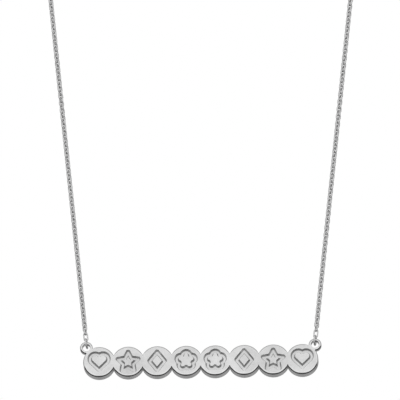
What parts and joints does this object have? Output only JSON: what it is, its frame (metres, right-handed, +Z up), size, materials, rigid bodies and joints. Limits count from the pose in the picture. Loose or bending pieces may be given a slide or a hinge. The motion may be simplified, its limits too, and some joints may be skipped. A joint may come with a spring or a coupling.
{
  "type": "nameplate necklace",
  "caption": "Bar of overlapping discs with sunken motifs, hung by two eyelets and jump rings from a fine cable chain that closes in a clasp.",
  "frame": {"origin": "top of the loop, on the chain's middle line, where the clasp hooks the end ring and a neck or a peg holds the necklace", "axes": "+Z up along the hanging loop, -Y out of the nameplate's face, +X along the nameplate to the right as seen from the front"},
  "size_m": [0.0762, 0.0027, 0.1943],
  "materials": {
    "plate": "brushed silver face and sunken motifs, with a polished rim",
    "chain": "polished silver wire",
    "findings": "polished silver"
  },
  "bodies": {
    "loop": {"jump_ring_left": "findings", "jump_ring_right": "findings", "end_link_left": "chain", "end_link_right": "chain", "chain_left": "chain", "chain_right": "chain", "chain_bow_left": "chain", "chain_bow_right": "chain", "top_link_left": "chain", "top_link_right": "chain", "end_ring": "findings", "clasp": "findings"},
    "plate": {"nameplate": "plate"}
  },
  "joints": [
    {"name": "plate_swing", "type": "hinge", "parent": "loop", "child": "plate", "pos_m": [0, 0, -0.18433], "axis": [1, 0, 0], "range_deg": [-50, 50]}
  ]
}
